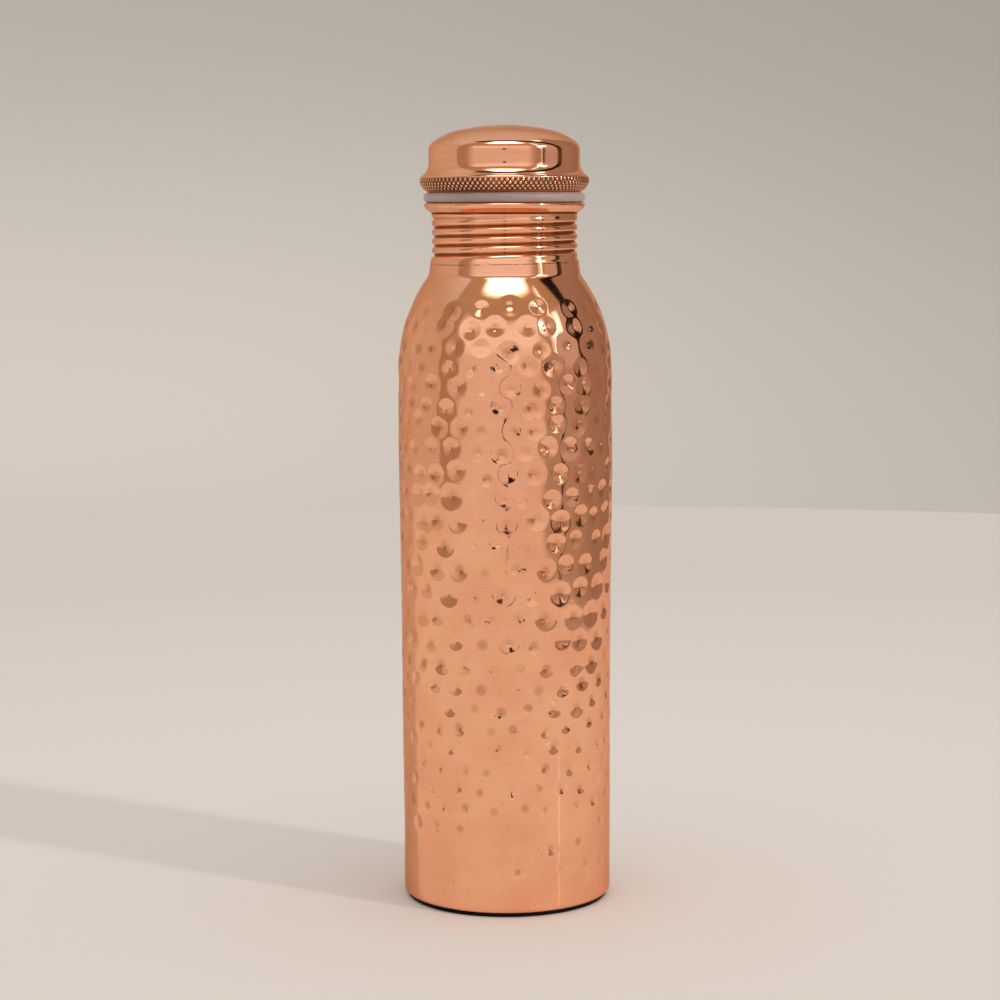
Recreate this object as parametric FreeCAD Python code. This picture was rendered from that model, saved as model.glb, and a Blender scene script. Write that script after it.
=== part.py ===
import FreeCAD, Part
import os
from math import atan2, cos, hypot, pi, sin, tan

# A hammered copper water bottle with a screw-in cap, in millimetres.
# Origin: centre of the foot on the ground. +Z: the bottle's axis, towards the cap.
# Every copper piece is drawn as the middle line of its sheet, corner by corner, as
# (radius, height, bend radius), and turned about the axis.

SHEET = 0.5             # copper sheet
TOUCH = 0.02            # gap between pieces that are pressed, hemmed or glued together
RUN = 0.05              # gap between pieces that move against each other
HALF = SHEET / 2

# Foot and base
FOOT_R = 34.6
FOOT_H = 1.28
FOOT_EDGE = 0.35
RIM_Z = FOOT_H + TOUCH + HALF       # middle of the body's rolled-in bottom rim
RIM_INNER_R = 30.0
RIM_BEND = 1.3
WALL_FOOT_R = 35.65                 # middle line of the wall, just above the foot
DISC_DOME_R = 25.0
DISC_RISE = 3.0
DISC_BEND = 3.0
DISC_SEAT_BEND = 1.0                # where the disc turns up into its flange
DISC_FLANGE_TOP = 8.0
SOLDER_H = 1.3
SOLDER_HOLLOW = (0.6, 0.4)          # the fillet's middle, as shares of its width and height

# Body and shoulder
LOWER_Z, LOWER_R = 27.0, 35.80
WAIST_Z, WAIST_R = 100.0, 36.0
CHEST_Z, CHEST_R = 150.0, 36.62
SHOULDER_CORNER_Z, SHOULDER_CORNER_R = 200.0, 36.35
SHOULDER_BEND = 54.0
COLLAR_Z, COLLAR_R = 215.2, 25.72   # where the shoulder turns up into the neck
COLLAR_BEND = 3.0
SWEEP = 800.0                       # the body's slow curves

# Rolled thread, right-hand
PITCH = 3.1
THREAD_DEPTH = 0.95
GROOVE_SHARPNESS = 3                # higher gives narrower grooves
CREST_ROUNDING = 0.3                # 0 gives flat crests, 1 a plain wave
GROOVE_AT_X = 229.8                 # height of one groove's bottom, over the +X axis
NECK_CREST_R = 24.6
NECK_BASE_R = 25.05                 # where the neck's thread begins
NECK_STRAIGHT = 0.1                 # the upright stretch just below it
NECK_THREAD = (219.9, 221.9, 233.4, 236.0)      # start, full, still full, end
THREAD_CLEARANCE = 0.25
PLUG_CREST_R = NECK_CREST_R - SHEET - THREAD_CLEARANCE
PLUG_THREAD = (222.4, 224.0, 234.0, 236.0)

# Lip of the neck, a flattened outward curl
LIP_TOP = 239.68
LIP_R = 27.5
LIP_BEND, LIP_EDGE_BEND = 0.75, 0.5
LIP_RETURN = [(26.95, 238.15, 1.2), (25.2, 236.6, 0)]

# Seal ring
SEAL_BOTTOM = LIP_TOP + TOUCH
SEAL_TOP = 243.2
SEAL_R = 27.55

# Cap: outer shell, from the crown down to the hem that is curled under the plug's flange
TOTAL_H = 266.0
CROWN = [(7.8, TOTAL_H - HALF, 70.0), (20.15, 263.1, 22.0)]
CAP_WALL_R = 25.55
CAP_CORNER_Z, CAP_CORNER_BEND = 259.05, 3.6
FLARE = [(CAP_WALL_R, 252.85, 6.0), (25.95, 250.15, 5.0)]
BAND_R = 28.55                      # middle line of the grip band
BAND_TOP, BAND_TOP_BEND = 248.3, 1.8
BAND_BOTTOM, BAND_BOTTOM_BEND = 246.2, 1.5
HEM_CURL = (27.2, 244.3, 1.5)
HEM_Z = SEAL_TOP + RUN + HALF
HEM_R, HEM_BEND = 25.9, 0.6
HEM_END_R = 25.1

# Cap: plug
PLUG_FLOOR_Z = 221.3
PLUG_FLOOR_BEND = 1.2
FLANGE_BEND = 0.5
FLANGE_TOP = 247.2

AXIS = FreeCAD.Vector(0, 0, 1)
ORIGIN = FreeCAD.Vector(0, 0, 0)


def at(r, z):
    return FreeCAD.Vector(r, 0, z)


def direction(a, b):
    length = hypot(b[0] - a[0], b[1] - a[1])
    return (b[0] - a[0]) / length, (b[1] - a[1]) / length


def beside(path, shift):
    """The path moved to its left by shift, with every bend's radius changed to match."""
    ways = [direction(a, b) for a, b in zip(path, path[1:])]
    moved = []
    for i, (r, z, bend) in enumerate(path):
        before, after = ways[max(i - 1, 0)], ways[min(i, len(ways) - 1)]
        turn = before[0] * after[1] - before[1] * after[0]
        across = 1 + before[0] * after[0] + before[1] * after[1]
        r -= shift * (before[1] + after[1]) / across
        z += shift * (before[0] + after[0]) / across
        if bend:
            bend -= shift if turn > 0 else -shift
        moved.append((r, z, bend))
    return moved


def line_edges(path):
    """The edges of a path: straight lines with an arc at every corner that has a bend."""
    edges = []
    start = at(*path[0][:2])
    for i in range(1, len(path) - 1):
        r, z, bend = path[i]
        before, after = direction(path[i - 1], path[i]), direction(path[i], path[i + 1])
        turn = atan2(before[0] * after[1] - before[1] * after[0],
                     before[0] * after[0] + before[1] * after[1])
        reach = bend * tan(abs(turn) / 2)
        enter = at(r - before[0] * reach, z - before[1] * reach)
        leave = at(r + after[0] * reach, z + after[1] * reach)
        inward = at(after[0] - before[0], after[1] - before[1]).normalize()
        middle = at(r, z) + inward * (bend / cos(turn / 2) - bend)
        edges.append(Part.makeLine(start, enter))
        if bend:
            edges.append(Part.Arc(enter, middle, leave).toShape())
        start = leave
    edges.append(Part.makeLine(start, at(*path[-1][:2])))
    return edges


def turned(edges):
    """The faces that a chain of edges sweeps out about the axis, as two halves."""
    half = Part.Wire(edges).revolve(ORIGIN, AXIS, 180)
    return half.Faces + half.rotated(ORIGIN, AXIS, 180).Faces


def sheet_piece(path):
    """A turned piece of sheet with this middle line."""
    left, right = beside(path, HALF), beside(path, -HALF)
    edges = line_edges(left) + line_edges(right)
    edges += [Part.makeLine(at(*left[i][:2]), at(*right[i][:2])) for i in (0, -1)]
    section = Part.Face(Part.Wire(Part.__sortEdges__(edges)))
    return section.revolve(ORIGIN, AXIS, 360)


def ease(x):
    """0 up to x = 0, 1 from x = 1, with a smooth change between."""
    x = min(max(x, 0), 1)
    return x * x * (3 - 2 * x)


def thread_r(angle, z, crest_r, start_r, limits):
    """The radius of a wall with rolled grooves, which begins as a plain ring of start_r."""
    start, full, still, end = limits
    phase = (z - GROOVE_AT_X) / PITCH - angle / (2 * pi)
    wave = (1 + cos(2 * pi * phase)) / 2
    groove = CREST_ROUNDING * wave + (1 - CREST_ROUNDING) * wave ** GROOVE_SHARPNESS
    runout = 1 - ease((z - still) / (end - still))
    threaded = crest_r - THREAD_DEPTH * runout * groove
    return start_r + ease((z - start) / (full - start)) * (threaded - start_r)


def threaded_faces(crest_r, start_r, limits):
    """The two halves of a wall with a rolled thread, as parts of one spline surface."""
    around, per_pitch, round_degree, rise_degree = 48, 14, 5, 3
    start, end = limits[0], limits[-1]
    rows = int((end - start) / PITCH * per_pitch)
    step = 2 * pi / around
    # A spline of degree 5 runs this much inside a ring of control points
    swell = 120 / (66 + 52 * cos(step) + 2 * cos(2 * step))
    poles = []
    for i in range(around):
        angle = (i - 2) * step      # the third column stands over the seam, which is +X
        column = []
        for j in range(rows + 1):
            z = start + (end - start) * j / rows
            r = swell * thread_r(angle, z, crest_r, start_r, limits)
            column.append(FreeCAD.Vector(r * cos(angle), r * sin(angle), z))
        poles.append(column)
    rise_ends = [rise_degree + 1] + [1] * (rows - rise_degree) + [rise_degree + 1]
    top = len(rise_ends) - 1
    surface = Part.BSplineSurface()
    surface.buildFromPolesMultsKnots(
        poles, [1] * (around + 1), rise_ends, list(range(around + 1)), list(range(top + 1)),
        True, False, round_degree, rise_degree)
    return [surface.toShape(0, around / 2, 0, top),
            surface.toShape(around / 2, around, 0, top)]


def threaded_piece(lower, upper, limits):
    """A turned sheet with a rolled thread between its lower and its upper path."""
    faces = []
    for side in (HALF, -HALF):
        below, above = beside(lower, side), beside(upper, side)
        faces += turned(line_edges(below)) + turned(line_edges(above))
        faces += threaded_faces(above[0][0], below[-1][0], limits)
    for end in (lower[:2], upper[:-3:-1]):
        rims = [beside(end, side)[0] for side in (HALF, -HALF)]
        if rims[0][0] > 0:
            faces += turned([Part.makeLine(at(*rims[0][:2]), at(*rims[1][:2]))])
    shell = Part.makeShell(faces)
    shell.sewShape()
    return Part.makeSolid(shell)


def bottle_shell():
    """The seamless body: bottom rim, hammered wall, shoulder, threaded neck and curled lip."""
    lower = [
        (RIM_INNER_R, RIM_Z, 0),
        (WALL_FOOT_R, RIM_Z, RIM_BEND),
        (LOWER_R, LOWER_Z, SWEEP),
        (WAIST_R, WAIST_Z, SWEEP),
        (CHEST_R, CHEST_Z, SWEEP),
        (SHOULDER_CORNER_R, SHOULDER_CORNER_Z, SHOULDER_BEND),
        (COLLAR_R, COLLAR_Z, COLLAR_BEND),
        (NECK_BASE_R, NECK_THREAD[0] - NECK_STRAIGHT, 0),
        (NECK_BASE_R, NECK_THREAD[0], 0),
    ]
    upper = [
        (NECK_CREST_R, NECK_THREAD[-1], 0),
        (NECK_CREST_R, LIP_TOP - HALF, LIP_BEND),
        (LIP_R, LIP_TOP - HALF, LIP_EDGE_BEND),
    ] + LIP_RETURN
    return threaded_piece(lower, upper, NECK_THREAD)


def base_disc():
    """The pressed base: dished up in the middle, standing on the rim, flanged up the wall."""
    seat_z = RIM_Z + SHEET + TOUCH
    flange_r = WALL_FOOT_R - SHEET - TOUCH
    return sheet_piece([
        (0, seat_z + DISC_RISE, 0),
        (DISC_DOME_R, seat_z + DISC_RISE, DISC_BEND),
        (DISC_DOME_R + 2 * DISC_RISE, seat_z, DISC_BEND),
        (flange_r, seat_z, DISC_SEAT_BEND),
        (flange_r, DISC_FLANGE_TOP, 0),
    ])


def base_solder():
    """The solder that closes the joint between the base's flange and the wall."""
    outer = WALL_FOOT_R - HALF - TOUCH
    inner = WALL_FOOT_R - SHEET - TOUCH - HALF
    bottom = DISC_FLANGE_TOP + TOUCH
    top = bottom + SOLDER_H
    hollow = at(inner + SOLDER_HOLLOW[0] * (outer - inner),
                bottom + SOLDER_HOLLOW[1] * SOLDER_H)
    edges = [
        Part.makeLine(at(inner, bottom), at(outer, bottom)),
        Part.makeLine(at(outer, bottom), at(outer, top)),
        Part.Arc(at(outer, top), hollow, at(inner, bottom)).toShape(),
    ]
    return Part.Face(Part.Wire(edges)).revolve(ORIGIN, AXIS, 360)


def foot_pad():
    """The black rubber pad that the bottle stands on, glued under the rim."""
    pad = Part.makeCylinder(FOOT_R, FOOT_H)
    rims = [edge for edge in pad.Edges if edge.Closed]
    return pad.makeFillet(FOOT_EDGE, rims).Solids[0]


def seal_ring():
    """The silicone seal round the top of the plug, with a full-round outer edge."""
    inner = PLUG_CREST_R + HALF + RUN
    half_h = (SEAL_TOP - SEAL_BOTTOM) / 2
    flat_r = SEAL_R - half_h
    edges = [
        Part.makeLine(at(inner, SEAL_TOP), at(inner, SEAL_BOTTOM)),
        Part.makeLine(at(inner, SEAL_BOTTOM), at(flat_r, SEAL_BOTTOM)),
        Part.Arc(at(flat_r, SEAL_BOTTOM), at(SEAL_R, SEAL_BOTTOM + half_h),
                 at(flat_r, SEAL_TOP)).toShape(),
        Part.makeLine(at(flat_r, SEAL_TOP), at(inner, SEAL_TOP)),
    ]
    return Part.Face(Part.Wire(edges)).revolve(ORIGIN, AXIS, 360)


def cap_hem():
    """The lower end of the cap's middle line: grip band, then curled in under the flange."""
    return [
        (BAND_R, BAND_TOP, BAND_TOP_BEND),
        (BAND_R, BAND_BOTTOM, BAND_BOTTOM_BEND),
        HEM_CURL,
        (HEM_R, HEM_Z, HEM_BEND),
        (HEM_END_R, HEM_Z, 0),
    ]


def cap_shell():
    """The cap's outer shell: domed crown, wall, flare, grip band and hem."""
    crown = [(0, TOTAL_H - HALF, 0)] + CROWN
    corner = [(CAP_WALL_R, CAP_CORNER_Z, CAP_CORNER_BEND)]
    return sheet_piece(crown + corner + FLARE + cap_hem())


def cap_plug():
    """The plug: a closed threaded cup whose flange is held in the cap's hem."""
    base_r = PLUG_CREST_R - THREAD_DEPTH
    lower = [
        (0, PLUG_FLOOR_Z, 0),
        (base_r, PLUG_FLOOR_Z, PLUG_FLOOR_BEND),
        (base_r, PLUG_THREAD[0], 0),
    ]
    side, curl, hem, end = beside(cap_hem(), -(SHEET + TOUCH))[1:]
    upper = [
        (PLUG_CREST_R, PLUG_THREAD[-1], 0),
        (PLUG_CREST_R, end[1], FLANGE_BEND),
        hem,
        curl,
        side,
        (side[0], FLANGE_TOP, 0),
    ]
    return threaded_piece(lower, upper, PLUG_THREAD)


PARTS = {
    "bottle_shell": bottle_shell,
    "base_disc": base_disc,
    "base_solder": base_solder,
    "foot_pad": foot_pad,
    "seal_ring": seal_ring,
    "cap_shell": cap_shell,
    "cap_plug": cap_plug,
}

os.makedirs("parts", exist_ok=True)
for name, build in PARTS.items():
    solid = build()
    box = solid.optimalBoundingBox(False, False)
    print(name, "valid", solid.isValid(), "closed", solid.isClosed(), solid.ShapeType,
          "volume", round(solid.Volume, 1), "z", round(box.ZMin, 3),
          round(box.ZMax, 3), "r", round(box.XMax, 3))
    solid.exportStep("parts/" + name + ".step")
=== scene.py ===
from math import ceil, cos, pi, radians, sin, tan

import bpy
import numpy as np
from mathutils import Euler, Matrix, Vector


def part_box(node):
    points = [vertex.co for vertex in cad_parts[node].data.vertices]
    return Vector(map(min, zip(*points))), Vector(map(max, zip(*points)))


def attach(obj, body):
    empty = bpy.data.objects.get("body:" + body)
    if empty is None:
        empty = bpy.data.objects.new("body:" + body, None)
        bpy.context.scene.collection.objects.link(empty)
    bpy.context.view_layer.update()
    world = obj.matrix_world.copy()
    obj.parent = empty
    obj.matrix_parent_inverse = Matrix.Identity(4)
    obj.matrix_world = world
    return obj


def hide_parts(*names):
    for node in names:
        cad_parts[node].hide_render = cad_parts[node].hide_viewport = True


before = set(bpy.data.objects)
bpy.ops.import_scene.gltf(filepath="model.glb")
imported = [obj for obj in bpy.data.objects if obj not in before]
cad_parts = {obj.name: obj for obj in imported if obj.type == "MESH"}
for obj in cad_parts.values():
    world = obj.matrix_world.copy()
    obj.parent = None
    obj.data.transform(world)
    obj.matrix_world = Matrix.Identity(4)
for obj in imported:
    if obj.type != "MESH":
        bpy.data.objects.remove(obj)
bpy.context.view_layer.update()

# A hammered copper water bottle. Shapes are worked out in millimetres and stored in metres.
MM = 0.001
SEED = 7
FRONT = -pi / 2             # the side that faces the camera

SHEET = 0.5                 # copper sheet
HALF = SHEET / 2
TOUCH = 0.02                # gap between pieces that are crimped or glued together
RUN = 0.05                  # gap between pieces that move against each other

# The places that follow from the frame
FOOT_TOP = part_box("foot_pad")[1].z / MM
FOOT_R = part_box("foot_pad")[1].x / MM
RIM_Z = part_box("bottle_shell")[0].z / MM + HALF
LIP_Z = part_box("bottle_shell")[1].z / MM - HALF
SEAL_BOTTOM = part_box("seal_ring")[0].z / MM
SEAL_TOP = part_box("seal_ring")[1].z / MM
SEAL_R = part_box("seal_ring")[1].x / MM
HEM_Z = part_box("cap_shell")[0].z / MM + HALF
CAP_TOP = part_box("cap_shell")[1].z / MM
BAND_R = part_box("cap_shell")[1].x / MM - HALF
PLUG_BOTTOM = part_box("cap_plug")[0].z / MM
FLANGE_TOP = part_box("cap_plug")[1].z / MM

# Body and neck: middle line of the sheet as (radius, height, bend radius)
SWEEP = 800.0               # the wall's slight swell
SHOULDER_BEND = 54.0
WALL = [
    (30.0, RIM_Z, 0),
    (35.65, RIM_Z, 1.3),
    (35.80, 27.0, SWEEP),
    (36.0, 100.0, SWEEP),
    (36.62, 150.0, SWEEP),
    (36.35, 200.0, SHOULDER_BEND),
    (25.72, 215.2, 3.0),
    (25.05, 219.9, 0),
]
LIP = [
    (24.6, LIP_Z, 0.75),
    (27.5, LIP_Z, 0.5),
    (26.95, LIP_Z - 1.28, 1.2),
    (25.2, LIP_Z - 2.83, 0),
]

CREASE_BELOW_LIP, CREASE_FADE = 0.95, 0.8   # the crease under the lip, with shade painted into it
SCRIBED_Z = 219.3           # a line scribed round the bottom of the neck

# Rolled thread: start, full depth, still full depth, end
PITCH = 3.1
THREAD_DEPTH = 0.95
GROOVE_SHARPNESS = 3
CREST_ROUNDING = 0.3
GROOVE_AT_X = 229.8
NECK_R, NECK_THREAD = 24.6, (219.9, 221.9, 233.4, 236.0)
PLUG_R, PLUG_THREAD = 23.85, (222.4, 224.0, 234.0, 236.0)

# Cap: middle line of its shell from the hem's end up to the crown, in the same form
HEM = [
    (25.1, HEM_Z, 0),
    (25.9, HEM_Z, 0.6),
    (27.2, 244.3, 1.5),
    (BAND_R, 246.2, 1.5),
    (BAND_R, 248.3, 1.8),
]
CROWN = [
    (25.95, 250.15, 5.0),
    (25.55, 252.85, 6.0),
    (25.55, 259.05, 3.6),
    (20.15, 263.1, 22.0),
    (7.8, CAP_TOP - HALF, 70.0),
    (0, CAP_TOP - HALF, 0),
]

# Hammer dents, row by row from the shoulder down
DENT_TOP_Z, DENT_LOW_Z = 204.5, 12.0
SPARSE_BELOW_Z = 33.0       # under this height only a few dents are left
DROPPED = 0.75              # the share of the dents that is left out there
TOP_ROW_DENTS = 19
FIRST_TURN = 0.12           # where the top row starts, as a share of its spacing
ROW_TURN = 0.57             # how far each row is turned on from the one above it
STAGGERED_FROM_Z, STAGGERED_TO_Z = 128, 190
STAGGER = 0.16              # between these heights every other row stands aside by this share
WANDER, WANDER_UP = 0.16, 1.2   # how far a dent strays: a share of the spacing, and millimetres
DENT_ZONES = [(172, 6.4, 24), (128, 7.9, 27), (88, 8.3, 24), (0, 6.9, 24)]  # above, spacing, around
DENT_R, DENT_DEPTH = 3.8, 0.45
SMALLER_FROM_Z, SMALLER_OVER = 104, 50  # dents shrink from this height down, over this distance
LOW_DENT_R, LOW_DENT_DEPTH = 2.7, 0.3
PIT_R, PIT_SHARE = 1.7, 0.45    # the deeper middle of a dent, as a share of its depth
DENT_SOFTNESS = 0.3         # 0 gives a ball's hollow with a clear rim, 1 one with no rim
DENT_ROUNDING = 0.025
RIDGE_ROUNDING = 0.04
DENT_SHADE, DENT_SHADE_R = 0.5, 2.5  # painted shade in the dents; 1 is the black painted into the thread's grooves

# Diamond knurl on the cap's grip band
KNURL_AROUND = 100
KNURL_HEIGHT = 2.3
KNURL_DEPTH = 0.3
KNURL_GROOVE = 0.55         # the grooves' share of the spacing
KNURL_FADE = 0.3            # over this length the grooves run out at both ends
KNURL_STEPS = 12            # mesh rows and columns per diamond
KNURL_FROM, KNURL_TO = 243.7, 248.1  # heights on the band's middle line

# Seal and foot
PARTING_LINE, PARTING_WIDTH = 0.03, 0.05    # the ridge that the mould left: height, and radians
SEAL_CHAMFER = 0.2
FOOT_EDGE = 0.35            # bend radius
GRIP_DEPTH, GRIP_SPACING = 0.2, 3   # the rings under the foot
GRIP_FROM, GRIP_TO = 3, 29          # the radii between which they lie


# ---------------------------------------------------------------- shapes

def rounded(corners, step):
    """Points, outward normals and lengths along a path with an arc at each corner that bends."""
    points, ways = [], []
    start = np.array(corners[0][:2], float)
    for i in range(1, len(corners)):
        corner = np.array(corners[i][:2], float)
        way = (corner - start) / np.linalg.norm(corner - start)
        bend = corners[i][2] if i < len(corners) - 1 else 0
        turn, reach = 0.0, 0.0
        if i < len(corners) - 1:
            after = np.array(corners[i + 1][:2], float) - corner
            after /= np.linalg.norm(after)
            turn = np.arctan2(way[0] * after[1] - way[1] * after[0], way @ after)
            reach = bend * tan(abs(turn) / 2)
        enter = corner - way * reach
        count = max(1, ceil(np.linalg.norm(enter - start) / step))
        for share in np.linspace(0, 1, count + 1)[:-1]:
            points.append(start + (enter - start) * share)
            ways.append(way)
        if bend:
            side = np.array([-way[1], way[0]]) * np.sign(turn)
            count = max(3, ceil(bend * abs(turn) / min(step, 0.16 * bend)))
            for a in np.linspace(0, abs(turn), count + 1)[:-1]:
                points.append(enter + bend * (sin(a) * way + (1 - cos(a)) * side))
                ways.append(cos(a) * way + sin(a) * side)
            start = enter + bend * (sin(abs(turn)) * way + (1 - cos(turn)) * side)
        else:
            start = corner
    points.append(start)
    ways.append(way)
    points, ways = np.array(points), np.array(ways)
    normals = np.stack([ways[:, 1], -ways[:, 0]], 1)
    lengths = np.concatenate([[0], np.cumsum(np.linalg.norm(np.diff(points, axis=0), axis=1))])
    return points, normals, lengths


def beside(corners, shift):
    """The corners moved outwards by shift, with every bend's radius changed to match."""
    places = np.array(corners, float)[:, :2]
    ways = np.diff(places, axis=0)
    ways /= np.linalg.norm(ways, axis=1)[:, None]
    before, after = np.vstack([ways[:1], ways]), np.vstack([ways, ways[-1:]])
    both = (before + after) / (1 + (before * after).sum(1))[:, None]
    places += shift * np.stack([both[:, 1], -both[:, 0]], 1)
    turns = np.sign(before[:, 0] * after[:, 1] - before[:, 1] * after[:, 0])
    return [(r, z, bend + shift * turn if bend else 0)
            for (r, z), (_, _, bend), turn in zip(places, corners, turns)]


def sampled(path, places):
    """The path's points and normals at these lengths along it."""
    points, normals, lengths = path
    point, normal = (np.stack([np.interp(places, lengths, table[:, i]) for i in (0, 1)], 1)
                     for table in (points, normals))
    return point, normal / np.linalg.norm(normal, axis=1)[:, None], places


def columns_at(r, most, spacing):
    """How many columns a ring of this radius gets: most, halved while they stay close enough."""
    count = most
    while count % 2 == 0 and count > 8 and 2 * pi * r / count < 0.7 * spacing:
        count //= 2
    return count


def side_rings(path, shift, most, spacing, relief=None):
    """Rings of (x, y, z, hollow) for one side of a sheet, shifted from its middle line."""
    points, normals, lengths = path
    rings = []
    for (r, z), (nr, nz), length in zip(points, normals, lengths):
        if r < 1e-6:
            rings.append(np.array([[0, 0, z + nz * shift, 0]]))
            continue
        angle = np.arange(columns_at(r, most, spacing)) * 2 * pi / columns_at(r, most, spacing)
        lift, hollow = relief(angle, z, length) if relief else (0 * angle, 0 * angle)
        radius = r + nr * (shift + lift)
        rings.append(np.stack([radius * np.cos(angle), radius * np.sin(angle),
                               z + nz * (shift + lift), hollow], 1))
    return rings


def plain_rings(outline, most, spacing):
    """Rings of (x, y, z, hollow) along (radius, height) points, with nothing in relief."""
    rings = []
    for r, z in outline:
        count = columns_at(r, most, spacing) if r else 1
        angle = np.arange(count) * 2 * pi / count
        rings.append(np.stack([r * np.cos(angle), r * np.sin(angle), z + 0 * angle, 0 * angle], 1))
    return rings


def strip_faces(first, count, other, other_count):
    """Faces between two rings, where one may have a whole number of times the other's points."""
    if count == other_count:
        if count == 1:
            return []
        return [(first + i, first + (i + 1) % count, other + (i + 1) % count, other + i)
                for i in range(count)]
    if count < other_count:
        return [face[::-1] for face in strip_faces(other, other_count, first, count)]
    if other_count == 1:
        return [(first + i, first + (i + 1) % count, other) for i in range(count)]
    ratio = count // other_count
    faces = []
    for k in range(other_count):
        here, after = other + k, other + (k + 1) % other_count
        for i in range(ratio):
            near = here if i < (ratio + 1) // 2 else after
            a, b = first + k * ratio + i, first + (k * ratio + i + 1) % count
            faces.append((a, b, near))
            if i == (ratio + 1) // 2 - 1:
                faces.append((b, after, here))
    return faces


def mesh_piece(name, rings, closed, body, node, material):
    """A smooth mesh object from rings of points, in the place of a CAD node."""
    faces, starts, total = [], [], 0
    for ring in rings:
        starts.append(total)
        total += len(ring)
    pairs = list(zip(range(len(rings) - 1), range(1, len(rings))))
    if closed:
        pairs.append((len(rings) - 1, 0))
    for a, b in pairs:
        faces += strip_faces(starts[a], len(rings[a]), starts[b], len(rings[b]))
    points = np.concatenate(rings)
    mesh = bpy.data.meshes.new(name)
    mesh.from_pydata((points[:, :3] * MM).tolist(), [], faces)
    hollow = mesh.attributes.new("hollow", "FLOAT", "POINT")
    hollow.data.foreach_set("value", points[:, 3].astype(np.float32))
    mesh.shade_smooth()
    mesh.validate()
    mesh.materials.append(material)
    piece = bpy.data.objects.new(name, mesh)
    bpy.context.scene.collection.objects.link(piece)
    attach(piece, body)
    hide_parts(node)
    return piece


def ease(x):
    """0 up to 0, 1 from 1 on, and a smooth change between."""
    x = np.clip(x, 0, 1)
    return x * x * (3 - 2 * x)


def thread(crest_r, start_r, limits):
    """The relief of a rolled right-hand thread, on a middle line that stands at crest_r."""
    start, full, still, end = limits

    def relief(angle, z, length):
        phase = (z - GROOVE_AT_X) / PITCH - angle / (2 * pi)
        wave = (1 + np.cos(2 * pi * phase)) / 2
        narrow = wave ** GROOVE_SHARPNESS
        groove = CREST_ROUNDING * wave + (1 - CREST_ROUNDING) * narrow
        share = ease((z - start) / (full - start))
        strength = share * (1 - ease((z - still) / (end - still)))
        lift = (1 - share) * (start_r - crest_r) - THREAD_DEPTH * strength * groove
        # The second value marks the groove bottoms, where shade is painted
        return lift, strength * narrow ** 2
    return relief


def hammer_marks(path):
    """The dents as (angle, length along the path, radius of the wall, dent radius, depth)."""
    points, _, lengths = path
    wall = points[:, 1] > RIM_Z + 2
    heights, radii, along = points[wall, 1], points[wall, 0], lengths[wall]
    chance = np.random.default_rng(SEED)
    marks = []
    z, row, turn = DENT_TOP_Z, 0, FIRST_TURN
    while z > DENT_LOW_Z:
        spacing, around = next(zone[1:] for zone in DENT_ZONES if z > zone[0])
        count = around if row else TOP_ROW_DENTS
        low = ease((SMALLER_FROM_Z - z) / SMALLER_OVER)
        for k in range(count):
            angle = FRONT + (k + turn + chance.uniform(-WANDER, WANDER)) * 2 * pi / count
            height = z + chance.uniform(-WANDER_UP, WANDER_UP)
            size = (DENT_R + low * (LOW_DENT_R - DENT_R)) * chance.uniform(0.84, 1.14)
            depth = (DENT_DEPTH + low * (LOW_DENT_DEPTH - DENT_DEPTH)) * chance.uniform(0.7, 1.2)
            if z < SPARSE_BELOW_Z and chance.uniform() < DROPPED:
                continue
            marks.append((angle, np.interp(height, heights, along),
                          np.interp(height, heights, radii), size, depth))
        z -= spacing
        row += 1
        staggered = STAGGERED_FROM_Z < z < STAGGERED_TO_Z
        turn = STAGGER * (-1) ** row if staggered else turn + ROW_TURN
    return marks


def hammered(path, marks, most):
    """The relief of the dented wall, as a function of the angle and the place on the path."""
    points, _, lengths = path
    angle = np.arange(most) * 2 * pi / most
    chance = np.random.default_rng(SEED + 1)
    field, dent_shade = np.full((len(lengths), most), -2.0), np.zeros((len(lengths), most))
    for where, along, wall_r, size, depth in marks:
        reach = 1.8 * size
        rows = np.abs(lengths - along) < reach
        across = ((angle - where + pi) % (2 * pi) - pi) * wall_r
        cols = np.abs(across) < reach
        up, over = (lengths[rows] - along)[:, None], across[cols][None]
        share = (up ** 2 + over ** 2) / size ** 2
        dent = depth * (1 - share) * (1 - DENT_SOFTNESS * np.minimum(share, 1))
        aside, above = chance.uniform(-0.5, 0.5, 2)
        pit = 1 - ((up - above) ** 2 + (over - aside) ** 2) / (PIT_R * size / DENT_R) ** 2
        dent += PIT_SHARE * depth * np.clip(pit, 0, 1) ** 2
        patch = np.ix_(rows, cols)
        # Painted shade round the middle of each dent, of a random strength
        shaded = 1 - ((up - above) ** 2 + (over - aside) ** 2) / (DENT_SHADE_R * size / DENT_R) ** 2
        shaded = DENT_SHADE * chance.uniform() * np.clip(shaded, 0, 1)
        dent_shade[patch] = np.maximum(dent_shade[patch], shaded)
        old = field[patch]
        field[patch] = (old + dent + np.sqrt((old - dent) ** 2 + RIDGE_ROUNDING ** 2)) / 2
    sunk = (field + np.sqrt(field ** 2 + DENT_ROUNDING ** 2)) / 2
    # The wall's faint waviness, which fades out at the foot and below the neck
    z = points[:, 1][:, None]
    sway = (0.055 * np.sin(3 * angle + 1.3 + z / 23) + 0.045 * np.sin(5 * angle - z / 17 + 2.0)
            + 0.03 * np.sin(11 * angle + z / 31) - 0.1)
    sway *= ease((z - 8) / 14) * (1 - ease((z - 196) / 12))
    table = {round(length, 6): i for i, length in enumerate(lengths)}

    # Gives the lift of the wall, and the painted shade in the dents as the hollow value
    def relief(ring_angle, height, length):
        row = table[round(length, 6)]
        stride = most // len(ring_angle)
        return sway[row, ::stride] - sunk[row, ::stride], dent_shade[row, ::stride]
    return relief


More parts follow.
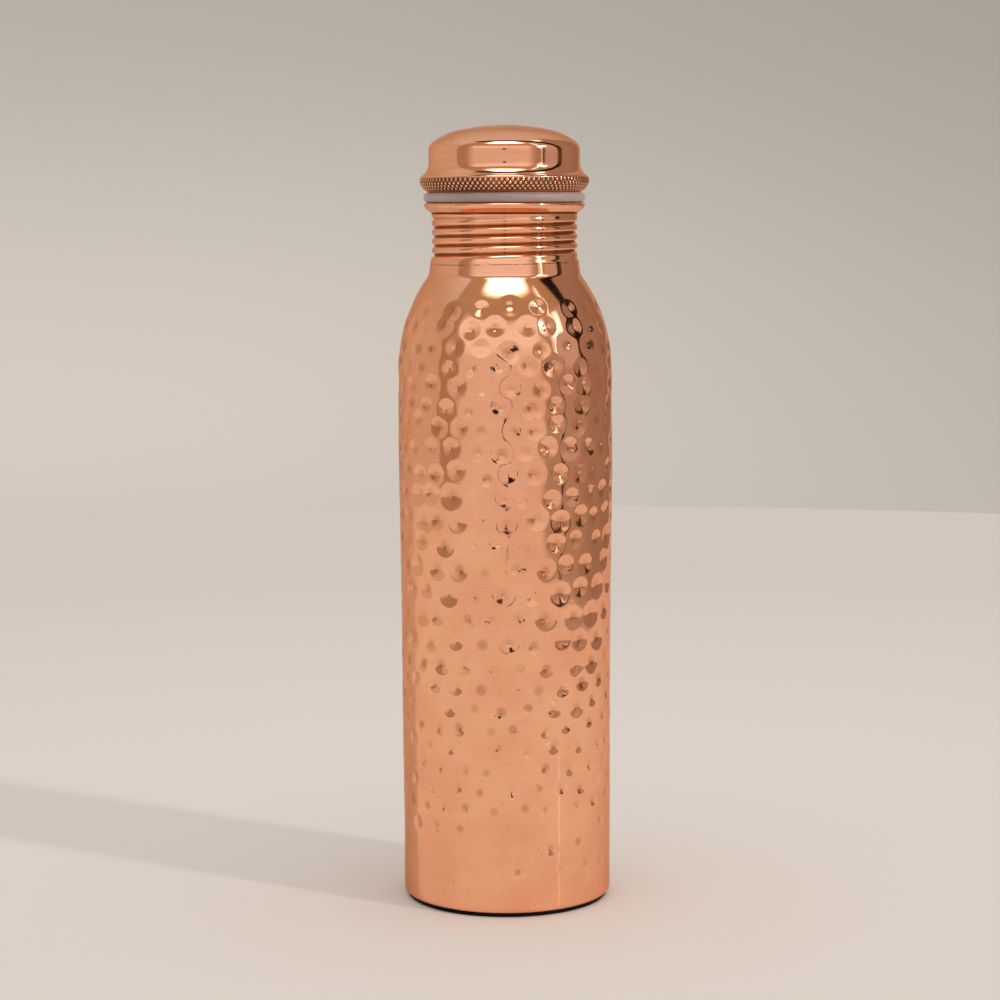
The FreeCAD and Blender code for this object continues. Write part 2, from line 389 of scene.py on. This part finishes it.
def knurl(start, end):
    """Two crossing families of grooves, cut between these lengths along the path."""
    def relief(angle, z, length):
        u = angle * KNURL_AROUND / (2 * pi)
        v = (length - start) / KNURL_HEIGHT
        tooth = np.minimum(*[1 - np.abs(2 * (s % 1) - 1) for s in (u + v, u - v)])
        edge = ease((length - start) / KNURL_FADE) * ease((end - length) / KNURL_FADE)
        cut = edge * (1 - np.clip(tooth / KNURL_GROOVE, 0, 1))
        # cut also marks the grooves, where shade is painted
        return -KNURL_DEPTH * cut, cut
    return relief


def lip_crease(angle, z, length):
    """No relief, but shade is painted into the crease under the lip."""
    return 0 * angle, 0 * angle + ease((LIP_Z - CREASE_BELOW_LIP - z) / CREASE_FADE)


def bottle(material):
    """The bottle's sheet: finely meshed and detailed outside, more coarsely inside."""
    rings = []
    # Which side of the sheet, the mesh's steps on the wall and on the thread, and its columns
    for side, step, row, most in ((1, 0.5, 0.22, 448), (-1, 2.4, 0.44, 112)):
        wall = rounded(WALL, step)
        marks = hammer_marks(wall)
        neck = rounded([(NECK_R, NECK_THREAD[0], 0), (NECK_R, NECK_THREAD[-1], 0)], row)
        lip = rounded([(NECK_R, NECK_THREAD[-1], 0)] + LIP, 0.6)
        screw = thread(NECK_R, WALL[-1][0], NECK_THREAD)
        parts = (side_rings(wall, side * HALF, most, 0.1, hammered(wall, marks, most))[:-1]
                 + side_rings(neck, side * HALF, most, 0.1, screw)[:-1]
                 + side_rings(lip, side * HALF, most, 0.1, lip_crease if side > 0 else None))
        rings += parts[::side]
    return mesh_piece("hammered_bottle", rings, True, "bottle", "bottle_shell",
                      material)


def cap(material):
    """The cap's outer shell, from the hem up to the crown."""
    most = KNURL_STEPS * KNURL_AROUND
    path, fine = rounded(HEM + CROWN, 0.45), rounded(HEM + CROWN, 0.08)
    band = fine[0][:, 0] > HEM[2][0] - 1
    start, end = np.interp((KNURL_FROM, KNURL_TO), fine[0][band, 1], fine[2][band])
    lengths = path[2]
    below = sampled(fine, lengths[lengths < start - 0.1])
    knurled = sampled(fine, np.arange(start, end, KNURL_HEIGHT / KNURL_STEPS))
    above = sampled(fine, lengths[lengths > end + 0.1])
    rings = side_rings(below, HALF, most, 0.5)
    rings += side_rings(knurled, HALF, most, 0.1, knurl(start, end))
    rings += side_rings(above, HALF, most, 0.5)
    rings += side_rings(rounded(HEM + CROWN, 0.9), -HALF, most, 1.2)[::-1]
    return mesh_piece("screw_cap", rings, True, "cap", "cap_shell", material)


def plug(material):
    """The cap's plug, a closed threaded cup with a flange that sits in the cap's hem."""
    base_r = PLUG_R - THREAD_DEPTH
    end, hem, curl, band = beside(HEM, -SHEET - TOUCH)[:4]
    lower = [
        (0, PLUG_BOTTOM + HALF, 0),
        (base_r, PLUG_BOTTOM + HALF, 1.2),
        (base_r, PLUG_THREAD[0], 0),
    ]
    upper = [
        (PLUG_R, PLUG_THREAD[-1], 0),
        (PLUG_R, end[1], 0.5),
        hem,
        curl,
        band,
        (band[0], FLANGE_TOP, 0),
    ]
    rings = []
    for side in (1, -1):
        cup, top = rounded(lower, 0.6), rounded(upper, 0.5)
        wall = rounded([(PLUG_R, PLUG_THREAD[0], 0), (PLUG_R, PLUG_THREAD[-1], 0)], 0.22)
        screw = thread(PLUG_R, base_r, PLUG_THREAD)
        parts = (side_rings(cup, side * HALF, 320, 0.8)[:-1]
                 + side_rings(wall, side * HALF, 320, 0.1, screw)[:-1]
                 + side_rings(top, side * HALF, 320, 0.1))
        rings += parts[::side]
    return mesh_piece("threaded_plug", rings, True, "cap", "cap_plug", material)


def seal(material):
    """The silicone ring: a full-round outer edge with a faint parting line, and a flat bore."""
    inner = PLUG_R + HALF + RUN
    half_h = (SEAL_TOP - SEAL_BOTTOM) / 2
    middle = SEAL_BOTTOM + half_h
    outline = []
    for a in np.linspace(-pi / 2, pi / 2, 41):
        bulge = half_h - PARTING_LINE * (1 - np.exp(-(a / PARTING_WIDTH) ** 2))
        outline.append((SEAL_R - half_h + bulge * cos(a), middle + half_h * sin(a)))
    outline += [(inner + SEAL_CHAMFER, SEAL_TOP), (inner, SEAL_TOP - SEAL_CHAMFER),
                (inner, SEAL_BOTTOM + SEAL_CHAMFER), (inner + SEAL_CHAMFER, SEAL_BOTTOM)]
    rings = plain_rings(outline, 288, 0)
    return mesh_piece("seal", rings, True, "seal", "seal_ring", material)


def foot(material):
    """The rubber foot: rounded edges, and shallow rings on the underside for grip."""
    outline = [(0, GRIP_DEPTH)]
    for r in np.arange(1.0, FOOT_R - 3.5, 0.25):
        wave = 0.5 + 0.5 * cos(2 * pi * r / GRIP_SPACING) if r > GRIP_FROM else 1
        outline.append((r, GRIP_DEPTH * wave * (1 - ease((r - GRIP_TO) / 1.2))))
    outline.append((FOOT_R - 3.0, 0))
    for a in np.linspace(0, pi / 2, 7):
        outline.append((FOOT_R - FOOT_EDGE * (1 - sin(a)), FOOT_EDGE * (1 - cos(a))))
    for a in np.linspace(0, pi / 2, 7):
        outline.append((FOOT_R - FOOT_EDGE * (1 - cos(a)), FOOT_TOP - FOOT_EDGE * (1 - sin(a))))
    outline += [(r, FOOT_TOP) for r in (33, 30, 24, 16, 8, 0)]
    rings = plain_rings(outline, 256, 0.8)
    return mesh_piece("foot", rings, False, "bottle", "foot_pad", material)


# ---------------------------------------------------------------- materials

# Copper: clean, clouded, scratched, with painted shade in the dents and hollows, in its dark
# specks, with near-black painted shade in the grooves and under the lip, and in the scribed line
CLEAN, CLOUDED = (0.985, 0.525, 0.32), (0.93, 0.46, 0.27)
SCRATCHED, HOLLOW_SHADE = (0.74, 0.34, 0.19), (0.66, 0.30, 0.16)
SPECK, GROOVE_SHADE, SCRIBED = (0.22, 0.085, 0.04), (0.045, 0.018, 0.009), (0.16, 0.065, 0.035)


class Graph:
    """Adds nodes to a shader's node tree. An input may be a value or another node's output."""

    def __init__(self, tree):
        self.tree = tree

    def put(self, socket, value):
        if isinstance(value, bpy.types.NodeSocket):
            self.tree.links.new(value, socket)
        elif socket.type == "RGBA":
            socket.default_value = (*value, 1)
        else:
            socket.default_value = value

    def add(self, kind, inputs=None, out=0, **settings):
        node = self.tree.nodes.new("ShaderNode" + kind)
        for name, value in settings.items():
            setattr(node, name, value)
        for key, value in (inputs or {}).items():
            self.put(node.inputs[key], value)
        return node.outputs[out]

    def math(self, operation, a, b=0.0):
        return self.add("Math", {0: a, 1: b}, operation=operation)

    def mix(self, share, a, b):
        return self.add("Mix", {0: share, 6: a, 7: b}, out=2, data_type="RGBA")

    def ramp(self, value, low, high, start=0.0, end=1.0):
        """A smooth change from start to end, as value goes from low to high."""
        return self.add("MapRange", {0: value, 1: low, 2: high, 3: start, 4: end},
                        interpolation_type="SMOOTHSTEP")

    def scaled(self, vector, x, y, z):
        return self.add("VectorMath", {0: vector, 1: (x, y, z)}, operation="MULTIPLY")

    def noise(self, vector, scale, detail=2.0, roughness=0.5):
        return self.add("TexNoise", {"Vector": vector, "Scale": scale, "Detail": detail,
                                     "Roughness": roughness})


def material_graph(name):
    """A new material's graph, with its shader and the place on the object at hand."""
    material = bpy.data.materials.new(name)
    material.use_nodes = True
    graph = Graph(material.node_tree)
    graph.shader = material.node_tree.nodes["Principled BSDF"]
    graph.place = graph.add("TexCoord", out=3)
    graph.material = material
    return graph


def specks(g, scale, size, share):
    """Small round spots, on this share of the cells of a pattern with scale cells per metre."""
    cell = g.tree.nodes.new("ShaderNodeTexVoronoi")
    g.put(cell.inputs["Vector"], g.place)
    cell.inputs["Scale"].default_value = scale
    chosen = g.math("LESS_THAN", g.add("SeparateColor", {0: cell.outputs["Color"]}), share)
    return g.math("MULTIPLY", chosen, g.ramp(cell.outputs["Distance"], size, size * 0.5))


def scribed_line(g, height):
    """A thin broken line round the bottle at this height in metres, a little askew."""
    axes = g.tree.nodes.new("ShaderNodeSeparateXYZ")
    g.put(axes.inputs[0], g.place)
    climb = g.math("MULTIPLY", axes.outputs[0], 0.014)
    off = g.math("SUBTRACT", axes.outputs[2], g.math("ADD", climb, height))
    line = g.ramp(g.math("ABSOLUTE", off), 0.00022, 0.00006)
    return g.math("MULTIPLY", line, g.ramp(g.noise(g.place, 240.0, 3.0), 0.42, 0.55, 0.15, 0.8))


def copper(name, polish, shade_strength, shade_from=0.35, shade_to=0.9, lines=0.25, scribed=None):
    """Polished copper, with faint turning lines, cloudy tarnish, specks, and painted shade in
    hollows.

    Polish is the least roughness. Shade is painted near-black into the hollows as the mesh's hollow
    attribute goes from shade_from to shade_to. Lines is the strength of the turning lines.
    """
    g = material_graph(name)
    clouds = g.noise(g.place, 55.0, 3.0, 0.55)
    fine_clouds = g.noise(g.place, 420.0, 2.0)
    colour = g.mix(g.ramp(clouds, 0.35, 0.7), CLEAN, CLOUDED)
    colour = g.mix(g.ramp(fine_clouds, 0.55, 0.8, 0, 0.35), colour, CLOUDED)
    turned = g.noise(g.scaled(g.place, 14.0, 14.0, 2600.0), 1.0, 3.0, 0.7)
    scratches = g.noise(g.scaled(g.place, 90.0, 90.0, 2400.0), 1.0, 4.0, 0.75)
    colour = g.mix(g.ramp(scratches, 0.42, 0.7, 0, 0.22), colour, SCRATCHED)
    spots = g.math("ADD", specks(g, 210.0, 0.07, 0.3), specks(g, 450.0, 0.11, 0.3))
    colour = g.mix(g.math("MULTIPLY", spots, 0.75), colour, SPECK)
    hollow = g.add("Attribute", out=2, attribute_name="hollow")
    # Painted shade: darker copper wherever the hollow attribute rises, in dents, grooves and under
    # the lip
    colour = g.mix(g.ramp(hollow, 0.0, 0.4, 0, 0.8), colour, HOLLOW_SHADE)
    # Painted shade: near-black at the groove bottoms and under the lip, which are also made rougher
    # and less metallic
    painted_shade = g.math("MULTIPLY", g.ramp(hollow, shade_from, shade_to), shade_strength)
    painted_shade = g.math("MULTIPLY", painted_shade, g.ramp(clouds, 0.25, 0.6, 0.75, 1.0))
    colour = g.mix(painted_shade, colour, GROOVE_SHADE)
    if scribed:
        colour = g.mix(scribed_line(g, scribed), colour, SCRIBED)
    rough = g.math("ADD", g.ramp(clouds, 0.3, 0.75, polish, polish + 0.05),
                   g.ramp(turned, 0.45, 0.8, 0, 0.03))
    rough = g.math("ADD", rough, g.math("MULTIPLY", spots, 0.3))
    rough = g.math("ADD", rough, g.math("MULTIPLY", painted_shade, 0.45))
    height = g.math("ADD", g.math("MULTIPLY", turned, 0.6), g.math("MULTIPLY", scratches, 0.4))
    bump = g.add("Bump", {"Strength": lines, "Distance": 0.00002, "Height": height})
    peel = g.add("Bump", {"Strength": 0.25, "Distance": 0.00006,
                          "Height": g.noise(g.place, 330.0, 1.0), "Normal": bump})
    g.put(g.shader.inputs["Base Color"], colour)
    g.put(g.shader.inputs["Roughness"], rough)
    g.put(g.shader.inputs["Specular Tint"], (0.8, 0.6, 0.5))
    g.put(g.shader.inputs["Metallic"], g.ramp(painted_shade, 0.3, 1.0, 1.0, 0.6))
    g.put(g.shader.inputs["Normal"], peel)
    return g.material


def silicone():
    g = material_graph("milky_silicone")
    clouds = g.noise(g.place, 130.0, 3.0)
    colour = g.mix(g.ramp(clouds, 0.3, 0.7), (0.36, 0.26, 0.245), (0.42, 0.31, 0.295))
    dust = specks(g, 900.0, 0.12, 0.12)
    colour = g.mix(g.math("MULTIPLY", dust, 0.5), colour, (0.75, 0.68, 0.64))
    g.put(g.shader.inputs["Base Color"], colour)
    g.put(g.shader.inputs["Roughness"], g.ramp(clouds, 0.3, 0.7, 0.38, 0.48))
    g.put(g.shader.inputs["Subsurface Weight"], 0.6)
    g.put(g.shader.inputs["Subsurface Radius"], (1.0, 0.6, 0.5))
    g.put(g.shader.inputs["Subsurface Scale"], 0.0015)
    grain = g.add("Bump", {"Strength": 0.3, "Distance": 0.00002,
                           "Height": g.noise(g.place, 2500.0, 2.0)})
    g.put(g.shader.inputs["Normal"], grain)
    return g.material


def rubber():
    g = material_graph("black_rubber")
    clouds = g.noise(g.place, 300.0, 3.0)
    dust = g.ramp(g.noise(g.place, 1500.0, 4.0, 0.7), 0.6, 0.75)
    g.put(g.shader.inputs["Base Color"], g.mix(dust, (0.004, 0.0035, 0.0035), (0.02, 0.018, 0.017)))
    g.put(g.shader.inputs["Roughness"], g.ramp(clouds, 0.3, 0.7, 0.28, 0.42))
    g.put(g.shader.inputs["Specular IOR Level"], 0.08)
    grain = g.add("Bump", {"Strength": 0.3, "Distance": 0.00003,
                           "Height": g.noise(g.place, 1800.0, 3.0)})
    g.put(g.shader.inputs["Normal"], grain)
    return g.material


def tin_solder():
    g = material_graph("tin_solder")
    clouds = g.noise(g.place, 400.0, 4.0, 0.6)
    g.put(g.shader.inputs["Base Color"], g.mix(clouds, (0.50, 0.49, 0.47), (0.68, 0.67, 0.65)))
    g.put(g.shader.inputs["Metallic"], 1.0)
    g.put(g.shader.inputs["Roughness"], g.ramp(clouds, 0.3, 0.7, 0.35, 0.6))
    ripples = g.add("Bump", {"Strength": 0.6, "Distance": 0.0001,
                             "Height": g.noise(g.place, 700.0, 3.0)})
    g.put(g.shader.inputs["Normal"], ripples)
    return g.material


# ---------------------------------------------------------------- studio

# What the polished copper mirrors, as seen from the bottle, in degrees. Azimuth 0 points at
# the camera and 90 to the picture's right. Each line is painted over the ones before it:
# azimuth from, to, softness, elevation from, to, softness, colour
SURROUNDINGS = [
    (-181, -76, 1, -40, 25, 8, (0.64, 0.535, 0.46)),        # left wall, lit from the table
    (-76, 100, 2, -40, 62, 8, (0.42, 0.31, 0.24)),          # the room in front of the table
    (-76, 110, 2, 38, 91, 6, (0.46, 0.36, 0.25)),           # its upper part
    (-53, 43, 9, -40, 34, 4, (0.76, 0.65, 0.61)),           # pale wall behind the camera
    (-50, 40, 8, 14, 34, 5, (0.97, 0.89, 0.90)),            # its brighter top
    (17, 38, 2, 3, 14, 3, (0.89, 0.77, 0.72)),              # a lit picture on it
    (43, 86, 3, -40, 0, 3, (0.44, 0.36, 0.31)),             # side wall, low
    (64, 86, 2, 0, 36, 3, (0.57, 0.47, 0.44)),              # side wall
    (53, 59.5, 1.5, 9, 56, 3, (0.95, 0.85, 0.86)),          # the wall beside the strip light
    (57.6, 59.4, 0.4, 9, 56, 3, (3.2, 3.1, 3.1)),           # strip light
    (58, 59.3, 0.4, -3, 9, 2, (1.3, 1.2, 1.15)),            # its lower end
    (63, 72, 1.5, 22, 34, 2, (2.8, 2.6, 2.5)),              # a card that it lights
    (60.5, 63.8, 0.5, -40, 8, 1, (0.05, 0.035, 0.035)),     # its stand
    (89, 98, 1, -1, 30, 3, (0.07, 0.05, 0.022)),            # doorway
    (88.6, 89.8, 0.4, 28, 66, 3, (0.06, 0.04, 0.022)),      # its edge, higher up
    (98, 150, 3, -40, 60, 8, (0.36, 0.28, 0.23)),           # dim side of the room
    (-38, 42, 12, 57, 80, 5, (6.0, 5.4, 5.0)),              # softbox overhead
    (110, 136, 5, 60, 66, 1.5, (2.8, 2.75, 3.0)),           # a window high behind
    (-0.5, 1.1, 0.3, -40, -8, 1, (0.10, 0.07, 0.07)),       # camera stand
    (-1.2, 1.6, 0.3, -8, -2.4, 0.8, (0.02, 0.013, 0.013)),  # its head
    (-2.3, 2.7, 0.4, 3, 11.5, 0.8, (0.012, 0.008, 0.008)),  # camera
]
BEAM, BEAM_PAINT = 8, (0.012, 0.008, 0.007)     # a dark beam overhead, and half its width
BEAM_LEFT = -0.4                            # its left end, as the x of the way it is seen in
SET_WALLS, SET_HIGH = (0.59, 0.49, 0.42), (0.68, 0.66, 0.66)
SOFT_LIGHT = (0.86, 0.83, 0.80)             # what lights everything that is not a mirror
TABLE_FRONT, TABLE_RIGHT = 0.83, 0.60       # how far the table reaches from the bottle
TABLE_MIRRORED, TABLE_LEFT = (0.80, 0.71, 0.66), (0.70, 0.62, 0.57)   # as the copper mirrors it
TABLE_EDGE, STREAK = -118, 58.6             # its left part's edge, and the strip light's gleam
TABLE_STREAK = (1.25, 1.2, 1.15)
# The floor near the bottle and far off: the paler middle is a painted pool of light
FLOOR_NEAR, FLOOR_FAR = (0.75, 0.695, 0.655), (0.65, 0.605, 0.565)
BACKDROP_HIGH, BACKDROP_RIGHT = (0.44, 0.42, 0.39), (0.38, 0.36, 0.32)
FLOOR_R, BACKDROP_BEND, BACKDROP_HEIGHT = 1.15, 0.75, 2.6   # metres, as the studio's shapes are
KEY_STRENGTH, KEY_SOFTNESS, KEY_COLOUR = 0.9, 4, (1.0, 0.93, 0.86)
KEY_TILT, KEY_FROM = 66, 58                 # degrees off straight down, and round to the right
LENS, SENSOR = 92.5, 36.0                   # millimetres
CAMERA_PLACE = (-0.00195, -0.8802, 0.2397)
CAMERA_DOWN, CAMERA_ROLL = 6.6, -0.26       # degrees


def surroundings():
    """A world that only reflections and soft light see."""
    world = bpy.data.worlds.new("studio")
    world.use_nodes = True
    bpy.context.scene.world = world
    g = Graph(world.node_tree)
    axes = g.tree.nodes.new("ShaderNodeSeparateXYZ")
    g.put(axes.inputs[0], g.add("TexCoord", out=0))
    x, y, z = axes.outputs
    degrees = 180 / pi
    azimuth = g.math("MULTIPLY", g.math("ARCTAN2", x, g.math("MULTIPLY", y, -1.0)), degrees)
    elevation = g.math("MULTIPLY", g.math("ARCSINE", z), degrees)
    colour = g.mix(g.ramp(elevation, 25, 55), SET_WALLS, SET_HIGH)
    for left, right, soft, low, high, soft_height, paint in SURROUNDINGS:
        share = g.ramp(azimuth, left - soft, left + soft)
        for value, far, near in ((azimuth, right + soft, right - soft),
                                 (elevation, low - soft_height, low + soft_height),
                                 (elevation, high + soft_height, high - soft_height)):
            share = g.math("MULTIPLY", share, g.ramp(value, far, near))
        colour = g.mix(share, colour, paint)
    lean = g.math("ABSOLUTE", g.math("MULTIPLY", g.math("ARCTAN2", y, z), degrees))
    beam = g.math("MULTIPLY", g.ramp(lean, BEAM + 1, BEAM - 1),
                  g.ramp(x, BEAM_LEFT - 0.05, BEAM_LEFT + 0.05))
    colour = g.mix(beam, colour, BEAM_PAINT)
    mirrored = g.add("LightPath", out=3)
    background = g.tree.nodes["Background"]
    g.put(background.inputs["Color"], g.mix(mirrored, SOFT_LIGHT, colour))
    background.inputs["Strength"].default_value = 1.0
    world.cycles.sampling_method = "NONE"


def turned_surface(name, outline, material, sides=128):
    """A surface of the studio, from (radius, height) points in metres."""
    angle = np.arange(sides) * 2 * pi / sides
    rings = [np.stack([r * np.cos(angle), r * np.sin(angle), z + 0 * angle], 1)
             for r, z in outline]
    points = np.concatenate(rings)
    faces = [(j * sides + i, j * sides + (i + 1) % sides, (j + 1) * sides + (i + 1) % sides,
              (j + 1) * sides + i) for j in range(len(rings) - 1) for i in range(sides)]
    mesh = bpy.data.meshes.new(name)
    mesh.from_pydata(points.tolist(), [], [face[::-1] for face in faces])
    mesh.shade_smooth()
    mesh.materials.append(material)
    surface = bpy.data.objects.new(name, mesh)
    bpy.context.scene.collection.objects.link(surface)
    return surface


def paper(name):
    """Matt paper. Returns its graph and its place as x, y and z."""
    g = material_graph(name)
    g.put(g.shader.inputs["Roughness"], 0.9)
    g.put(g.shader.inputs["Specular IOR Level"], 0.1)
    axes = g.tree.nodes.new("ShaderNodeSeparateXYZ")
    g.put(axes.inputs[0], g.place)
    return g, *axes.outputs


def heading(g, x, y, azimuth):
    """The direction of a place on the floor in degrees, from where the wall mirrors azimuth."""
    wall_r, side = WALL[1][0] * MM, radians(azimuth / 2)
    right = g.math("SUBTRACT", x, wall_r * sin(side))
    ahead = g.math("SUBTRACT", -wall_r * cos(side), y)
    return g.math("MULTIPLY", g.math("ARCTAN2", right, ahead), 180 / pi)


def floor_paper():
    """Paler near the bottle, as a painted pool of light. A mirrored ray sees only the table, and
    beyond it the world.
    """
    g, x, y, _ = paper("floor_paper")
    away = g.math("SQRT", g.math("ADD", g.math("MULTIPLY", x, x), g.math("MULTIPLY", y, y)))
    mirrored = g.add("LightPath", out=3)
    # Painted light: paler near the bottle, darker further off
    seen = g.mix(g.ramp(away, 0.1, 0.9), FLOOR_NEAR, FLOOR_FAR)
    reflected = g.mix(g.ramp(heading(g, x, y, TABLE_EDGE), TABLE_EDGE + 1, TABLE_EDGE - 2),
                      TABLE_MIRRORED, TABLE_LEFT)
    # Painted highlight: the strip light's gleam on the table, which only reflections see
    off_line = g.math("SUBTRACT", heading(g, x, y, STREAK), STREAK)
    streak = g.math("MULTIPLY", g.ramp(g.math("ABSOLUTE", off_line), 0.7, 0.3),
                    g.ramp(away, 0.31, 0.26))
    reflected = g.mix(streak, reflected, TABLE_STREAK)
    g.put(g.shader.inputs["Base Color"], g.mix(mirrored, seen, reflected))
    beyond = g.math("MAXIMUM", g.math("LESS_THAN", y, -TABLE_FRONT),
                    g.math("GREATER_THAN", x, TABLE_RIGHT))
    share = g.math("MULTIPLY", beyond, mirrored)
    both = g.add("MixShader", {0: share, 1: g.shader.outputs[0], 2: g.add("BsdfTransparent")})
    g.put(g.tree.nodes["Material Output"].inputs["Surface"], both)
    return g.material


def backdrop_paper():
    """Greyer and darker towards the top and the right, as painted shade."""
    g, x, _, z = paper("backdrop_paper")
    # Painted shade: darker towards the top and the right
    tint = g.mix(g.ramp(z, 0.0, 0.5), FLOOR_FAR, BACKDROP_HIGH)
    g.put(g.shader.inputs["Base Color"], g.mix(g.ramp(x, -0.3, 0.8, 0, 0.6), tint, BACKDROP_RIGHT))
    return g.material


def studio():
    """A pale floor that curves up into a backdrop all round, and a low warm key light."""
    turned_surface("floor", [(0.0005, 0), (0.1, 0), (0.4, 0), (FLOOR_R, 0)], floor_paper())
    bend = [(FLOOR_R + BACKDROP_BEND * sin(a), BACKDROP_BEND * (1 - cos(a)))
            for a in np.linspace(0, pi / 2, 24)]
    top = (FLOOR_R + BACKDROP_BEND, BACKDROP_HEIGHT)
    backdrop = turned_surface("backdrop", bend + [top], backdrop_paper())
    for ray in ("diffuse", "glossy", "transmission", "shadow", "volume_scatter"):
        setattr(backdrop, "visible_" + ray, False)
    surroundings()
    key = bpy.data.lights.new("key", "SUN")
    key.energy, key.angle, key.color = KEY_STRENGTH, radians(KEY_SOFTNESS), KEY_COLOUR
    lamp = bpy.data.objects.new("key", key)
    lamp.rotation_euler = Euler((radians(KEY_TILT), 0, radians(KEY_FROM)))
    bpy.context.scene.collection.objects.link(lamp)


def camera():
    """A long lens, level with the bottle's lip and tilted down a little."""
    data = bpy.data.cameras.new("camera")
    data.sensor_width = SENSOR
    data.lens = LENS
    data.clip_start = 0.05
    eye = bpy.data.objects.new("camera", data)
    eye.matrix_world = (Matrix.Translation(CAMERA_PLACE)
                        @ Matrix.Rotation(pi / 2 - radians(CAMERA_DOWN), 4, "X")
                        @ Matrix.Rotation(radians(CAMERA_ROLL), 4, "Z"))
    bpy.context.scene.collection.objects.link(eye)
    bpy.context.scene.camera = eye
    bpy.context.scene.view_settings.view_transform = "Standard"


# ---------------------------------------------------------------- the bottle

satin_copper = copper("satin_copper", polish=0.24, shade_strength=0.5, lines=0.5)
bottle(copper("hammered_copper", polish=0.045, shade_strength=0.95, shade_from=0.5, shade_to=0.9,
              scribed=SCRIBED_Z * MM))
cap(copper("cap_copper", polish=0.05, shade_strength=1.0, shade_from=0.15, shade_to=0.6))
plug(satin_copper)
seal(silicone())
foot(rubber())
for node, look in (("base_disc", satin_copper), ("base_solder", tin_solder())):
    for material_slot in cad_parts[node].material_slots:
        material_slot.material = look

studio()
camera()
